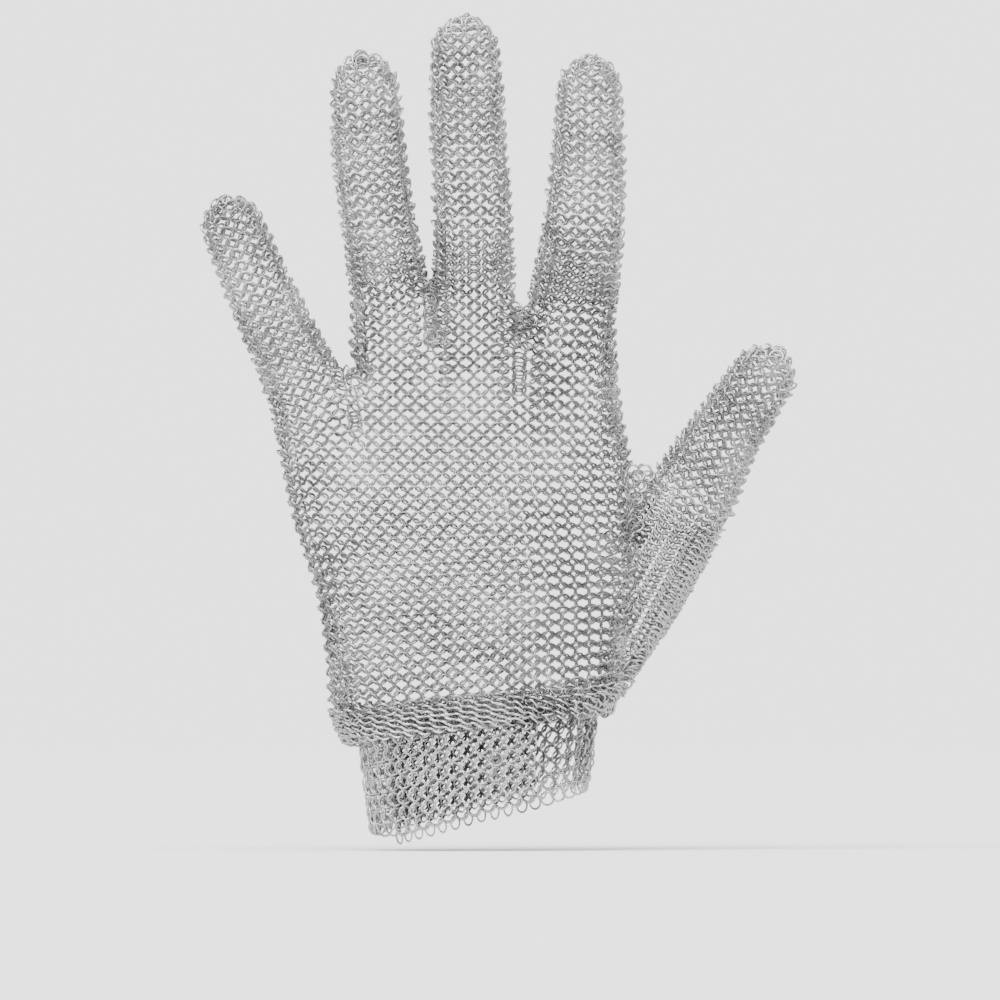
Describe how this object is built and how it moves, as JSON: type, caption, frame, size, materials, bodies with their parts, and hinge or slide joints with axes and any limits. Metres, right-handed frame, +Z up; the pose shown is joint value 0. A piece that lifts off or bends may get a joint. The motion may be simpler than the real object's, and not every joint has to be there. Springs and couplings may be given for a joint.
{
  "type": "chainmail glove",
  "caption": "Five-fingered left-hand glove of fine steel ring mail, open at the wrist, with a mail strap wound round the wrist as its cuff.",
  "frame": {"origin": "centre of the wrist opening, where the glove sits on the wearer's wrist", "axes": "+Z up the hand towards the fingertips, +Y out of the palm, -Y out of the back of the hand, +X towards the thumb"},
  "size_m": [0.1607, 0.0566, 0.2247],
  "materials": {
    "mail_steel": "fine drawn steel wire rings, satin, slightly worn bright on their outer sides",
    "cuff_steel": "the same wire rings in a denser doubled strap, satin",
    "hook_steel": "plain stamped steel plate, satin"
  },
  "bodies": {
    "root": {"back_panel": "mail_steel", "palm_panel": "mail_steel", "little_stall": "mail_steel", "ring_stall": "mail_steel", "middle_stall": "mail_steel", "index_stall": "mail_steel", "thumb_stall": "mail_steel", "cuff_strap": "cuff_steel", "cuff_hook": "hook_steel"}
  },
  "joints": []
}
